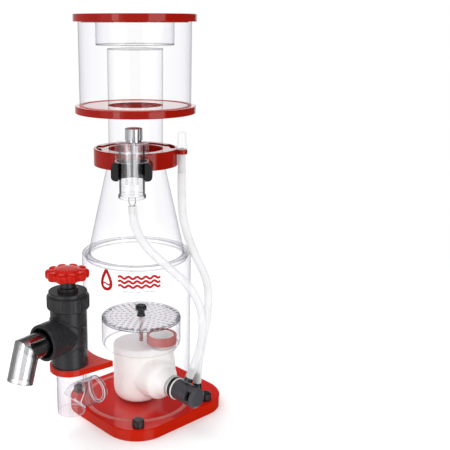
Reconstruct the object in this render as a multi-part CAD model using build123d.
from build123d import *
import math
import os

# Protein skimmer, 6 inch class, in millimetres.
# Origin: underside of the base plate, below the body axis. +Z up. The venturi points along -Y
# and the water outlet lies on the -X side.

# ---- driving dimensions ----
BASE_T = 16.4                 # base plate
BASE_X = (-80.4, 109.3)
BASE_Y = 86.0
BASE_CORNER_R = 47.0
SCREW_XY = ((-55, -68), (66, -73), (-55, 68), (66, 73))
SCREW_R, SCREW_H = 8.0, 11.0

BODY_R, BODY_WALL = 75.0, 4.5
BODY_TOP = 236.0
RING_T = 6.0                  # clear ring that closes the body round the cone
CONE_WALL = 3.2
CONE_FOOT_R, CONE_TOP_R = 66.2, 37.6
COLLAR_R = 56.0
COLLAR_Z = (357.5, 379.7)
CONE_TOP_Z = COLLAR_Z[0] + 3.0

NECK_R, NECK_WALL = 36.0, 3.0
NECK_Z = (COLLAR_Z[0] + 5.0, 508.0)
CUP_R, CUP_WALL = 72.8, 3.5
PLATE_R, PLATE_T = 79.0, 9.4  # red discs of the collection cup
CUP_FLOOR_TOP = 435.4
LID_Z = (541.0, 550.5)
SKIRT_R, SKIRT_WALL, SKIRT_BOTTOM = 50.5, 3.0, 512.0

SIL_X, SIL_Y = -52.9, -56.6   # air silencer, clipped to the collar
KNOB_X, KNOB_Y = -51.0, -58.2  # its air screw, a little off the middle of the cap
SIL_R = 16.0
CLIP_Z = (351.0, 373.5)
AIR_X, AIR_Y = 38.2, -48.9    # second air line, held by an eyelet on the collar
AIR_R = 5.25

BUB_Y = -9.0                  # bubble cup centre
BUB_R, BUB_WALL = 55.5, 3.0
BUB_Z = (101.0, 143.5)
BUB_FLOOR = 4.0

PUMP_X, PUMP_Z = 4.0, 57.5    # rotor axis, parallel to Y
CAN_R = 34.0
CAN_Z = (18.5, 100.6)
VOLUTE_R = 28.0
VOLUTE_Y = (-53.0, -25.0)
OUT_X, OUT_Y, OUT_R = 19.5, -30.5, 17.5   # pump outlet pipe

VALVE_X = -115.5              # riser and gate valve axis
RISER_R, RISER_WALL = 18.5, 3.0
RISER_BOTTOM = 33.5
LINK_Z = RISER_BOTTOM + RISER_R
BRACKET_Z = (95.5, 103.5)
VALVE_R = 24.0
VALVE_TOP = 201.5
NUT_TOP = 201.2
BRANCH_Z = 147.7
BRANCH_AZ = 190.0             # direction the branch points, degrees from +X
BRANCH_L = 48.0
PLUG_TRAVEL = 46.8
ELBOW_R, ELBOW_WALL = 16.3, 3.0
ELBOW_TURN_AT = 73.5          # from the valve axis to the mitre
ELBOW_LEAN = 18.6             # drop pipe away from the vertical
ELBOW_DROP = 40.6

HOSE_R = 5.5
HOSE_SILENCER = [             # from the silencer's nipple to the upper barb of the venturi
    (-52.9, -56.6, 318), (-52.9, -58.5, 293), (-46, -75, 266), (-26, -95, 241), (2, -106, 212),
    (19, -111, 177), (22, -110, 140), (18, -104.5, 107), (7.5, -100.4, 80)]
HOSE_AIRLINE = [              # from the eyelet on the collar to the side barb of the venturi
    (38.2, -48.9, 348), (38.2, -48.9, 320), (37, -53.5, 281), (41.5, -71, 240), (50, -90, 205),
    (46, -96, 165), (39, -95.5, 130), (29.5, -94, 90), (28, -95, 64)]

CENTER_MIN = (Align.CENTER, Align.CENTER, Align.MIN)


# ---- small builders ----
def post(radius, z0, z1, x=0, y=0):
    """A solid cylinder standing between two heights."""
    return Pos(x, y, z0) * Cylinder(radius, z1 - z0, align=CENTER_MIN)


def pipe(r_out, r_in, z0, z1, x=0, y=0):
    """A tube standing between two heights."""
    return post(r_out, z0, z1, x, y) - post(r_in, z0 - 1, z1 + 1, x, y)


def along(radius, start, direction, length):
    """A cylinder from a point along a direction."""
    return Plane(origin=start, z_dir=direction) * Cylinder(radius, length, align=CENTER_MIN)


def pipe_y(r_out, r_in, y0, y1, x=PUMP_X, z=PUMP_Z):
    """A tube along Y between y0 and y1."""
    solid = along(r_out, (x, y0, z), (0, 1, 0), y1 - y0)
    if r_in > 0:
        solid -= along(r_in, (x, y0 - 1, z), (0, 1, 0), y1 - y0 + 2)
    return solid


def block(x0, x1, y0, y1, z0, z1):
    """A box between two corners."""
    return Pos((x0 + x1) / 2, (y0 + y1) / 2, (z0 + z1) / 2) * Box(x1 - x0, y1 - y0, z1 - z0)


def rim(solid, radius, *heights, x=0, y=0):
    """Break the circular edges of a given radius and height."""
    picked = [e for e in solid.edges()
              if e.geom_type == GeomType.CIRCLE and abs(e.radius - radius) < 0.01
              and any(abs(e.center().Z - h) < 0.01 for h in heights)
              and abs(e.arc_center.X - x) < 0.01 and abs(e.arc_center.Y - y) < 0.01]
    return picked


def rounded(solid, radius, size, *heights, x=0, y=0):
    return fillet(rim(solid, radius, *heights, x=x, y=y), size)


def direction(azimuth):
    a = math.radians(azimuth)
    return Vector(math.cos(a), math.sin(a), 0)


# ---- base and body ----
def base_plate():
    length, width = BASE_X[1] - BASE_X[0], 2 * BASE_Y
    plate = Pos(sum(BASE_X) / 2, 0, 0) * extrude(RectangleRounded(length, width, BASE_CORNER_R), BASE_T)
    plate = chamfer(plate.edges().group_by(Axis.Z)[-1], 1.2)
    for x, y in SCREW_XY:
        plate -= post(3.05, 4, BASE_T + 1, x, y)
    return plate


def base_thumbscrews():
    screws = []
    for x, y in SCREW_XY:
        head = post(SCREW_R, BASE_T, BASE_T + SCREW_H, x, y)
        head = rounded(head, SCREW_R, 2.0, BASE_T + SCREW_H, x=x, y=y)
        for k in range(12):
            notch = direction(30 * k) * (SCREW_R + 0.9)
            head -= post(1.5, BASE_T - 1, BASE_T + SCREW_H + 1, x + notch.X, y + notch.Y)
        screws.append(head + post(3.0, 6, BASE_T, x, y))
    return Compound(children=screws)


def body_tube():
    tube = pipe(BODY_R, BODY_R - BODY_WALL, BASE_T, BODY_TOP)
    tube = fillet(rim(tube, BODY_R, BODY_TOP) + rim(tube, BODY_R - BODY_WALL, BODY_TOP), 1.8)
    tube -= along(RISER_R, (0, 0, LINK_Z), (-1, 0, 0), BODY_R + 5)
    tube -= along(15.2, (PUMP_X, 0, PUMP_Z), (0, -1, 0), BODY_R + 5)
    return tube


def body_top_ring():
    foot_in = CONE_FOOT_R - CONE_WALL
    return pipe(BODY_R - BODY_WALL, foot_in, BODY_TOP - 1 - RING_T, BODY_TOP - 1)


def cone_form(grow):
    """The cone's outer form as a solid, grown or shrunk all round."""
    z0 = BODY_TOP - 1
    return Pos(0, 0, z0) * Cone(CONE_FOOT_R + grow, CONE_TOP_R + grow, CONE_TOP_Z - z0, align=CENTER_MIN)


def cone():
    return cone_form(0) - cone_form(-CONE_WALL)


def slot_sector(r_out, r_in, z0, z1, start, span):
    """An arc-shaped block between two radii, from a start azimuth over a span."""
    sector = pipe(r_out, r_in, z0, z1)
    wedge_r = r_out * 2
    points = [(0, 0)] + [tuple(direction(start + span * k / 4) * wedge_r)[:2] for k in range(5)]
    return sector & (Pos(0, 0, z0 - 1) * extrude(make_face(Polyline(*points, close=True)), z1 - z0 + 2))


LUG_SPAN, SLOT_SPAN = 16, 48
LUG_AZ = (-58, 122)            # start of each bayonet slot


def collar_socket():
    z0, z1 = COLLAR_Z
    ring = rounded(post(COLLAR_R, z0, z1), COLLAR_R, 1.0, z1)
    ring -= post(46.4, z0 + 4.6, z1 + 1)
    ring -= cone_form(0) + post(CONE_TOP_R - CONE_WALL, z0 - 1, z0 + 6)
    for azimuth in LUG_AZ:
        ring -= slot_sector(52.6, 44, z1 - 7.4, z1 + 1, azimuth, SLOT_SPAN)
    return ring


def collar_lock_ring():
    z0, z1 = COLLAR_Z[0] + 9.5, COLLAR_Z[1] - 1.4
    ring = pipe(46.0, NECK_R + 0.4, z0, z1)
    for azimuth in LUG_AZ:
        ring += slot_sector(52.2, 45, z1 - 5.6, z1, azimuth + 0.6, LUG_SPAN)
    return ring


def collar_oring():
    z0 = COLLAR_Z[0] + 4.6
    return pipe(NECK_R + 3.2, NECK_R + 0.06, z0, z0 + 2.8)


# ---- collection cup ----
def neck_tube():
    neck = pipe(NECK_R, NECK_R - NECK_WALL, *NECK_Z)
    return fillet(rim(neck, NECK_R, NECK_Z[1]), 1.0)


def red_disc(z0, z1):
    disc = post(PLATE_R, z0, z1)
    return fillet(rim(disc, PLATE_R, z0, z1), 0.8)


def cup_floor():
    return red_disc(CUP_FLOOR_TOP - PLATE_T, CUP_FLOOR_TOP) - post(NECK_R, 400, 450)


def cup_wall():
    return pipe(CUP_R, CUP_R - CUP_WALL, CUP_FLOOR_TOP, LID_Z[0])


def lid_disc():
    disc = red_disc(*LID_Z) + pipe(CUP_R - CUP_WALL - 0.4, 62, LID_Z[0] - 1.0, LID_Z[0])
    for azimuth in (13, 80):
        vent = direction(azimuth) * 58
        disc -= post(1.5, LID_Z[0] - 1, LID_Z[1] + 1, vent.X, vent.Y)
    return disc


def lid_skirt():
    return pipe(SKIRT_R, SKIRT_R - SKIRT_WALL, SKIRT_BOTTOM, LID_Z[0])


# ---- air silencer and second air line ----
def silencer_clip():
    """C-shaped jaw that grips the silencer, on a web fixed to the collar."""
    out = Vector(SIL_X, SIL_Y, 0).normalized()
    turn = math.degrees(math.atan2(out.Y, out.X)) - 90
    z0, height = CLIP_Z[0], CLIP_Z[1] - CLIP_Z[0]
    jaw = Pos(0, -1.5, 0) * extrude(RectangleRounded(51, 33, 5.5), height)
    jaw -= Pos(0, 20, -1) * extrude(Rectangle(60, 22), height + 2)
    jaw -= Pos(0, 0, -1) * Cylinder(SIL_R + 0.3, height + 2, align=CENTER_MIN)
    jaw -= Pos(0, 12, -1) * extrude(Rectangle(33, 24), height + 2)
    front = Plane.XZ * Pos(0, height / 2, 0) * RectangleRounded(51, height, 5.5)
    jaw &= extrude(front, 40, both=True)
    jaw = Location((SIL_X, SIL_Y, z0), (0, 0, turn)) * jaw
    return jaw - post(COLLAR_R, 300, 400) - cone_form(1)


def silencer_body():
    """Clear cup with a foot flange and a hose nipple."""
    cup = post(SIL_R, 331, 395.5, SIL_X, SIL_Y) - post(SIL_R - 2, 334, 396, SIL_X, SIL_Y)
    cup += post(SIL_R + 1.4, 328.5, 332.5, SIL_X, SIL_Y)
    cup = fillet(rim(cup, SIL_R + 1.4, 328.5, x=SIL_X, y=SIL_Y), 1.2)
    cup += post(4.6, 321, 328.5, SIL_X, SIL_Y) + post(3.3, 306, 321, SIL_X, SIL_Y)
    for z in (307.5, 311.5):
        cup += Pos(SIL_X, SIL_Y, z) * Cone(3.3, 3.9, 3, align=CENTER_MIN)
    return cup - post(2.0, 300, 340, SIL_X, SIL_Y)


def silencer_cap():
    """Clear cap with a deep skirt round the top of the silencer."""
    cap = post(21.2, 375, 398.5, SIL_X, SIL_Y) - post(18.6, 374, 395.6, SIL_X, SIL_Y)
    cap = fillet(rim(cap, 21.2, 398.5, x=SIL_X, y=SIL_Y), 1.2)
    return cap - post(3.05, 390, 400, KNOB_X, KNOB_Y)


def silencer_tube():
    tube = pipe(8.2, 6.6, 346, 395.5, SIL_X, SIL_Y)
    for z in (352, 358, 364):
        tube -= along(1.2, (SIL_X - 12, SIL_Y, z), (1, 0, 0), 24)
    return tube


def silencer_knob():
    """Knurled air screw on a plain stem."""
    knob = post(9.6, 398.8, 401.2, KNOB_X, KNOB_Y)
    grip = rounded(post(10.8, 401.2, 415.5, KNOB_X, KNOB_Y), 10.8, 0.8, 415.5, x=KNOB_X, y=KNOB_Y)
    for k in range(24):
        notch = direction(15 * k) * 11.2
        grip -= post(0.75, 401, 416, KNOB_X + notch.X, KNOB_Y + notch.Y)
    return knob + grip + post(3.0, 384, 399, KNOB_X, KNOB_Y)


def hose_holder():
    """Red eyelet on the collar that holds the second air line."""
    out = Vector(AIR_X, AIR_Y, 0).normalized()
    turn = math.degrees(math.atan2(out.Y, out.X))
    arm = Location((0, 0, 373), (0, 0, turn)) * (Pos(58.5, 0, 3) * Box(8, 10, 6))
    lug = arm + post(7.3, 373, 379, AIR_X, AIR_Y)
    return lug - post(AIR_R, 370, 382, AIR_X, AIR_Y) - post(COLLAR_R, 370, 382)


def airline_socket():
    return pipe(AIR_R, 3.5, HOSE_AIRLINE[0][2], 380, AIR_X, AIR_Y)


def airline_stopper():
    plug = post(3.44, 352, 380.3, AIR_X, AIR_Y) + post(7.8, 380.3, 383.2, AIR_X, AIR_Y)
    head = Pos(AIR_X, AIR_Y, 383.2) * Cone(6.4, 5.4, 18.5, align=CENTER_MIN)
    return plug + fillet(head.edges().group_by(Axis.Z)[-1], 1.6)


# ---- bubble cup ----
def bubble_cup():
    z0, z1 = BUB_Z
    rim_top = z1 - 3.0
    cup = rounded(post(BUB_R, z0, rim_top, 0, BUB_Y), BUB_R, 8.0, z0, y=BUB_Y)
    well = post(BUB_R - BUB_WALL, z0 + BUB_FLOOR, rim_top + 5, 0, BUB_Y)
    well = rounded(well, BUB_R - BUB_WALL, 2.5, z0 + BUB_FLOOR, y=BUB_Y)
    return cup - well - post(OUT_R + 0.05, z0 - 1, z0 + 10, OUT_X, OUT_Y)


HOLE_RINGS = ((14, 10), (21, 15), (28, 20), (35, 25), (42, 30), (48.5, 35))


def bubble_plate():
    """Perforated disc that spreads the rising bubbles."""
    plate = post(BUB_R, BUB_Z[1] - 2.9, BUB_Z[1], 0, BUB_Y)
    holes = []
    for ring_r, count in HOLE_RINGS:
        for k in range(count):
            p = direction(360 * k / count) * ring_r
            holes.append(post(2.1, BUB_Z[1] - 5, BUB_Z[1] + 2, p.X, BUB_Y + p.Y))
    return plate - holes - post(2.5, 130, 150, 0, BUB_Y)


def bubble_plate_rod():
    return post(2.5, BUB_Z[0] + BUB_FLOOR + 0.4, BUB_Z[1] + 6, 0, BUB_Y)


def bubble_rod_spacer():
    return pipe(3.8, 2.5, BUB_Z[0] + BUB_FLOOR + 0.4, 121, 0, BUB_Y)


def bubble_plate_knob():
    profile = make_face(Polyline((0, 143.5), (6.2, 143.5), (5.0, 147), (5.2, 150.5), (8.0, 153),
                                 (8.0, 157), (6.6, 159), (0, 159), close=True))
    knob = revolve(Plane.XZ * profile, Axis.Z)
    return Pos(0, BUB_Y, 0) * knob - post(2.5, 140, 149.5, 0, BUB_Y)


def pump_union_ring():
    ring = pipe(21.3, OUT_R + 0.3, BUB_Z[0] + BUB_FLOOR + 0.3, 117.5, OUT_X, OUT_Y)
    return fillet(rim(ring, 21.3, 117.5, x=OUT_X, y=OUT_Y), 1.2)


# ---- pump ----
WELL_R = 14.0
FLANGE_R = 21.0                                # seat of the bubble cup on the discharge pipe
OVERHANG_Z = 75.0                              # underside of the discharge pipe behind the chamber
CORE = (-19, 25, -10, 12, 35.5, 79.5)          # stator core block
POCKET = (-19.3, 25.3, -10.3, 12.3, 24, 91)    # room for core and coils in the can


def pump_can():
    can = post(CAN_R, *CAN_Z)
    can = fillet(rim(can, CAN_R, *CAN_Z), 4.0)
    can -= along(VOLUTE_R + 1, (PUMP_X, -60, PUMP_Z), (0, 1, 0), 60 + VOLUTE_Y[1] + 2.5)
    can -= along(WELL_R + 0.1, (PUMP_X, -30, PUMP_Z), (0, 1, 0), 52.2)
    can -= block(*POCKET)
    can -= post(OUT_R + 0.5, OVERHANG_Z - 0.5, 110, OUT_X, OUT_Y)
    return can - post(FLANGE_R + 0.5, 95.5, 110, OUT_X, OUT_Y)


def rotor_well():
    """Thin closed sleeve that keeps the water off the stator."""
    well = pipe_y(WELL_R, 0, -23, 22) + pipe_y(17, 0, VOLUTE_Y[1] + 0.1, -22.5)
    return well - pipe_y(WELL_R - 1, 0, -30, 20)


def stator_core():
    return block(*CORE) - pipe_y(WELL_R + 0.4, 0, -20, 20)


def stator_coils():
    low = block(-14, 22, -9, 11, 25, CORE[4])
    high = block(-14, 22, -9, 11, CORE[5], 90)
    return Compound(children=[fillet(b.edges().filter_by(Axis.Z), 4) for b in (low, high)])


def cable_gland():
    """Gland where the mains lead enters the can, with its bore blanked."""
    gland = along(6.5, (0, 29.5, 82), (0, 1, 0), 6) + along(4.8, (0, 35.5, 82), (0, 1, 0), 6)
    return gland - along(2.6, (0, 32, 82), (0, 1, 0), 15) - post(CAN_R, 60, 96)


def volute_housing():
    """Pump chamber with the discharge pipe that rises into the bubble cup."""
    front, back = VOLUTE_Y
    chamber = block(-60, 60, front - 5, back - 3, 0, 130)
    drum = pipe_y(VOLUTE_R, 0, front, back)
    drum += post(OUT_R, PUMP_Z, 116.5, OUT_X, OUT_Y) & block(-60, 60, front, back, 0, 130)
    drum += post(OUT_R, OVERHANG_Z, 116.5, OUT_X, OUT_Y) + post(FLANGE_R, 96, BUB_Z[0], OUT_X, OUT_Y)
    drum -= pipe_y(VOLUTE_R - 4, 0, front - 2, back - 3)
    drum -= pipe_y(WELL_R - 0.5, 0, back - 4, back + 1)
    drum -= post(OUT_R - 3, PUMP_Z, 120, OUT_X, OUT_Y) & chamber
    return drum - post(OUT_R - 3, OVERHANG_Z + 3, 120, OUT_X, OUT_Y)


def volute_cover():
    """Front plate with the inlet neck that runs out through the body wall."""
    face = VOLUTE_Y[0] - 3
    cover = pipe_y(VOLUTE_R, 0, face, VOLUTE_Y[0])
    neck = Plane(origin=(PUMP_X, face, PUMP_Z), z_dir=(0, -1, 0)) * Cone(23, 12.6, 13, align=CENTER_MIN)
    cover = cover + neck + pipe_y(12.5, 0, -90, face)
    bore = pipe_y(9.5, 0, -91, VOLUTE_Y[0] + 1)
    hub = pipe_y(5, 2.5, face - 1, face + 2.8)
    arms = block(PUMP_X - 1, PUMP_X + 1, face, face + 2.8, PUMP_Z - 10, PUMP_Z + 10)
    arms += block(PUMP_X - 10, PUMP_X + 10, face, face + 2.8, PUMP_Z - 1, PUMP_Z + 1)
    spider = arms - pipe_y(3.5, 0, -65, -45)
    return cover - bore + hub + spider


def rotor_magnet():
    return pipe_y(12.4, 2.58, -25, 15)


def impeller():
    """Disc carrying rings of pins that chop the air into fine bubbles."""
    wheel = pipe_y(21, 2.58, -31.5, -29.2) + pipe_y(6, 2.58, -47, -31.4) + pipe_y(6, 2.58, -29.3, -25)
    for ring_r, count in ((10.5, 8), (15, 12), (19.5, 16)):
        for k in range(count):
            a = 2 * math.pi * k / count
            x, z = PUMP_X + ring_r * math.cos(a), PUMP_Z + ring_r * math.sin(a)
            wheel += along(0.9, (x, -47, z), (0, 1, 0), 16)
    return wheel


def pump_shaft():
    return pipe_y(2.5, 0, -57, 19.5)


def shaft_bushes():
    return Compound(children=[pipe_y(12.9, 2.5, 15.8, 19.8), pipe_y(4.4, 2.5, -52.8, -48)])


# ---- venturi ----
BARB_TOP = Vector(*HOSE_SILENCER[-1])
BARB_TOP_DIR = (Vector(*HOSE_SILENCER[-2]) - BARB_TOP).normalized()
BARB_SIDE = Vector(*HOSE_AIRLINE[-1])


def wall_boss():
    boss = pipe_y(15.5, 12.55, -76, -70) - post(BODY_R, 0, 200)
    return boss


def venturi_ring():
    return pipe_y(15.6, 12.55, -81, -76)


def venturi_oring():
    return pipe_y(15.2, 12.55, -82.6, -81)


def venturi_barrel():
    """Intake barrel with a closed end, windows in its side and an air throat."""
    end, throat = -121.5, (-104.0, -92.0)
    barrel = pipe_y(14, 9.5, end, -90) + pipe_y(14, 12.55, -90, -82.6) + pipe_y(12, 0, end, end + 3.5)
    barrel += pipe_y(10, 5.5, *throat)
    edge = [e for e in barrel.edges() if e.geom_type == GeomType.CIRCLE
            and abs(e.radius - 14) < 0.01 and abs(e.center().Y - end) < 0.01]
    barrel = chamfer(edge, 3.4)
    windows = Pos(PUMP_X, -112.9, PUMP_Z) * Rot(0, 22, 0) * (Box(40, 7.6, 12) + Box(12, 7.6, 40))
    barrel -= windows
    tip = BARB_TOP - BARB_TOP_DIR * 12
    barrel -= along(2.2, tip, BARB_TOP_DIR, 14)
    barrel -= along(2.2, (PUMP_X, -95, PUMP_Z), (1, 0, 0), 20)
    return barrel


def barb(start, way, bore=2.0):
    """Hose barb: a shoulder block, a spigot and two saw-tooth rings."""
    body = along(6.0, start - way * 5.5, way, 5.5) + along(3.4, start, way, 12)
    for step in (3, 7):
        tooth = Plane(origin=start + way * step, z_dir=way) * Cone(4.0, 3.4, 3, align=CENTER_MIN)
        body += tooth
    return body - along(bore, start - way * 8, way, 24)


def venturi_barb_top():
    return barb(BARB_TOP, BARB_TOP_DIR) - pipe_y(14, 0, -130, -80)


def venturi_barb_side():
    up = Vector(0, 0, 1)
    side = along(5.0, (PUMP_X + 9.5, BARB_SIDE.Y, PUMP_Z), (1, 0, 0), BARB_SIDE.X - PUMP_X - 9.5)
    knee = Pos(BARB_SIDE.X, BARB_SIDE.Y, PUMP_Z) * Sphere(6.0)
    return barb(BARB_SIDE, up) + knee + side - pipe_y(14, 0, -130, -80)


# ---- water outlet and gate valve ----
def riser_tube():
    tube = pipe(RISER_R, RISER_R - RISER_WALL, RISER_BOTTOM, 120, VALVE_X)
    return tube - along(RISER_R - RISER_WALL, (VALVE_X, 0, LINK_Z), (1, 0, 0), 30)


def riser_floor():
    return post(RISER_R - RISER_WALL, RISER_BOTTOM, RISER_BOTTOM + 3, VALVE_X)


def connecting_tube():
    start, length = (VALVE_X, 0, LINK_Z), -VALVE_X - BODY_R + 8
    tube = along(RISER_R, start, (1, 0, 0), length)
    tube -= along(RISER_R - RISER_WALL, (VALVE_X - 1, 0, LINK_Z), (1, 0, 0), length + 5)
    return tube - post(RISER_R, 0, 100, VALVE_X) - post(BODY_R - BODY_WALL, 0, 100)


def bracket():
    """Plate that ties the valve to the body wall, with an ear on each side."""
    ear = direction(155) * (BODY_R + 0.5)
    corner = math.degrees(math.asin(0.04))
    side = Vector(VALVE_X, 0, 0) + direction(90 + corner) * 27
    outline = make_face(Polyline((side.X, side.Y), (ear.X, ear.Y), (ear.X, -ear.Y), (side.X, -side.Y), close=True))
    height = BRACKET_Z[1] - BRACKET_Z[0]
    plate = Pos(0, 0, BRACKET_Z[0]) * extrude(outline, height) + post(27, *BRACKET_Z, x=VALVE_X)
    plate -= post(RISER_R + 0.05, 90, 110, VALVE_X)
    return plate - post(BODY_R, 90, 110)


def branch_axis(distance):
    """Point on the branch axis at a distance from the valve axis."""
    return Vector(VALVE_X, 0, BRANCH_Z) + direction(BRANCH_AZ) * distance


def valve_body():
    way = direction(BRANCH_AZ)
    body = post(VALVE_R, BRACKET_Z[1], VALVE_TOP, VALVE_X) + along(VALVE_R, branch_axis(0), way, BRANCH_L)
    body += post(VALVE_R + 1.2, BRACKET_Z[1] + 2, 182, VALVE_X) & along(VALVE_R + 3, branch_axis(0), way, 40)
    body -= post(19.2, 124, VALVE_TOP + 1, VALVE_X)
    body -= post(RISER_R + 0.05, 90, 120, VALVE_X) + post(15.5, 90, 130, VALVE_X)
    body -= along(15.5, branch_axis(0), way, BRANCH_L + 1)
    body -= along(19.6, branch_axis(BRANCH_L - 22), way, 23)
    mouth = body.edges().filter_by(lambda e: e.geom_type == GeomType.CIRCLE
                                   and (e.arc_center - branch_axis(BRANCH_L)).length < 0.05)
    body = chamfer(mouth, 1.0)
    for side in (-1, 1):
        body += block(VALVE_X - 1.5, VALVE_X + 1.5, min(side * 17.2, side * 19.6),
                      max(side * 17.2, side * 19.6), 126, 198)
    return body


def valve_union_nut():
    """Ribbed union nut round the top of the valve body."""
    nut = post(27.2, 182, NUT_TOP, VALVE_X)
    nut = chamfer(rim(nut, 27.2, 182, NUT_TOP, x=VALVE_X), 1.5)
    for k in range(36):
        rib = direction(10 * k) * 27.1
        nut += post(0.7, 184, NUT_TOP - 2, VALVE_X + rib.X, rib.Y)
    return nut - post(VALVE_R + 0.35, 150, 210, VALVE_X)


def valve_bonnet():
    bonnet = post(25.2, VALVE_TOP, 206, VALVE_X)
    bonnet = fillet(rim(bonnet, 25.2, 206, x=VALVE_X), 1.0)
    bonnet += post(19.0, 199, VALVE_TOP + 1, VALVE_X)
    return bonnet - post(6.1, 190, 210, VALVE_X)


def valve_gland():
    gland = pipe(13.4, 6.06, 206, 210.5, VALVE_X)
    return fillet(rim(gland, 13.4, 210.5, x=VALVE_X), 0.8)


def valve_stem():
    stem = post(4.0, 136, 198, VALVE_X) + post(6.0, 197.5, 211, VALVE_X)
    return stem + post(10.2, 210.8, 223, VALVE_X) + post(5.0, 223, 232, VALVE_X)


def valve_plug():
    """Plug that closes down on the seat below the branch as the stem turns."""
    plug = post(18.9, 173, 196.5, VALVE_X)
    plug = chamfer(rim(plug, 18.9, 173, x=VALVE_X), 1.5)
    for side in (-1, 1):
        plug -= block(VALVE_X - 1.9, VALVE_X + 1.9, side * 18.5 - 1.7, side * 18.5 + 1.7, 170, 200)
    return plug - post(4.08, 170, 200, VALVE_X)


def handwheel():
    """Scalloped wheel with a shallow ring of raised ribs on top."""
    wheel = post(28.4, 223, 233.5, VALVE_X)
    wheel = chamfer(rim(wheel, 28.4, 223, 233.5, x=VALVE_X), 1.5)
    wheel -= pipe(22.5, 11, 231.9, 234, VALVE_X)
    for k in range(10):
        dip = direction(36 * k) * 31.0
        wheel -= post(5.0, 220, 240, VALVE_X + dip.X, dip.Y)
        rib = Location((VALVE_X, 0, 232.4), (0, 0, 36 * k + 18)) * (Pos(16.5, 0, 0) * Box(12.4, 2.4, 2.2))
        wheel += rib
    wheel += post(11.2, 231, 235.0, VALVE_X)
    return wheel - post(5.0, 220, 232, VALVE_X)


def outlet_seal():
    way = direction(BRANCH_AZ)
    ring = along(19.55, branch_axis(BRANCH_L - 16), way, 7)
    return ring - along(ELBOW_R + 0.06, branch_axis(0), way, 80)


ELBOW_AT = branch_axis(ELBOW_TURN_AT)
DROP_WAY = (direction(BRANCH_AZ) * math.sin(math.radians(ELBOW_LEAN))
            - Vector(0, 0, 1) * math.cos(math.radians(ELBOW_LEAN)))
STUB_WAY = direction(BRANCH_AZ)


def mitre_side(sign):
    """A large block on one side of the mitre plane of the elbow."""
    normal = (DROP_WAY + STUB_WAY).normalized() * sign
    return Plane(origin=ELBOW_AT, z_dir=normal) * Box(200, 200, 120, align=CENTER_MIN)


def mitred(way, start, length, sign):
    tube = along(ELBOW_R, start, way, length) - along(ELBOW_R - ELBOW_WALL, start - way, way, length + 2)
    return tube & mitre_side(sign)


def outlet_stub():
    start = branch_axis(BRANCH_L - 19)
    return mitred(STUB_WAY, start, ELBOW_TURN_AT - BRANCH_L + 19 + 30, -1)


def outlet_drop():
    return mitred(DROP_WAY, ELBOW_AT - DROP_WAY * 30, ELBOW_DROP + 30, 1)


# ---- hoses ----
def hose(points, name):
    """A hose along straight runs joined by tangent arcs."""
    corners = [Vector(*p) for p in points]
    radii = []
    for a, b, c in zip(corners, corners[1:], corners[2:]):
        turn = math.radians((b - a).get_angle(c - b))
        radii.append(0.45 * min((b - a).length, (c - b).length) / math.tan(turn / 2))
    print(name, "bend radii", [round(r, 1) for r in radii])
    path = FilletPolyline(*corners, radius=radii)
    section = Plane(origin=path @ 0, z_dir=path % 0) * Circle(HOSE_R)
    tube = sweep(section, path=path)
    print(name, "length", round(path.length, 1), "volume ratio",
          round(tube.volume / (math.pi * HOSE_R ** 2 * path.length), 4))
    return tube


def hose_silencer():
    return hose(HOSE_SILENCER, "hose_silencer")


def hose_airline():
    return hose(HOSE_AIRLINE, "hose_airline")


NODES = (
    base_plate, base_thumbscrews, body_tube, body_top_ring, cone, collar_socket, collar_lock_ring,
    collar_oring, neck_tube, cup_floor, cup_wall, lid_disc, lid_skirt, silencer_clip, silencer_body,
    silencer_cap, silencer_tube, silencer_knob, hose_holder, airline_socket, airline_stopper,
    bubble_cup, bubble_plate, bubble_plate_rod, bubble_rod_spacer, bubble_plate_knob,
    pump_union_ring, pump_can, rotor_well, stator_core, stator_coils, cable_gland, volute_housing,
    volute_cover, rotor_magnet, impeller, pump_shaft, shaft_bushes, wall_boss, venturi_ring,
    venturi_oring, venturi_barrel, venturi_barb_top, venturi_barb_side, riser_tube, riser_floor,
    connecting_tube, bracket, valve_body, valve_union_nut, valve_bonnet, valve_gland, valve_stem,
    valve_plug, handwheel, outlet_seal, outlet_stub, outlet_drop, hose_silencer, hose_airline)

os.makedirs("parts", exist_ok=True)
for build in NODES:
    export_step(build(), f"parts/{build.__name__}.step")
print(len(NODES), "nodes written")
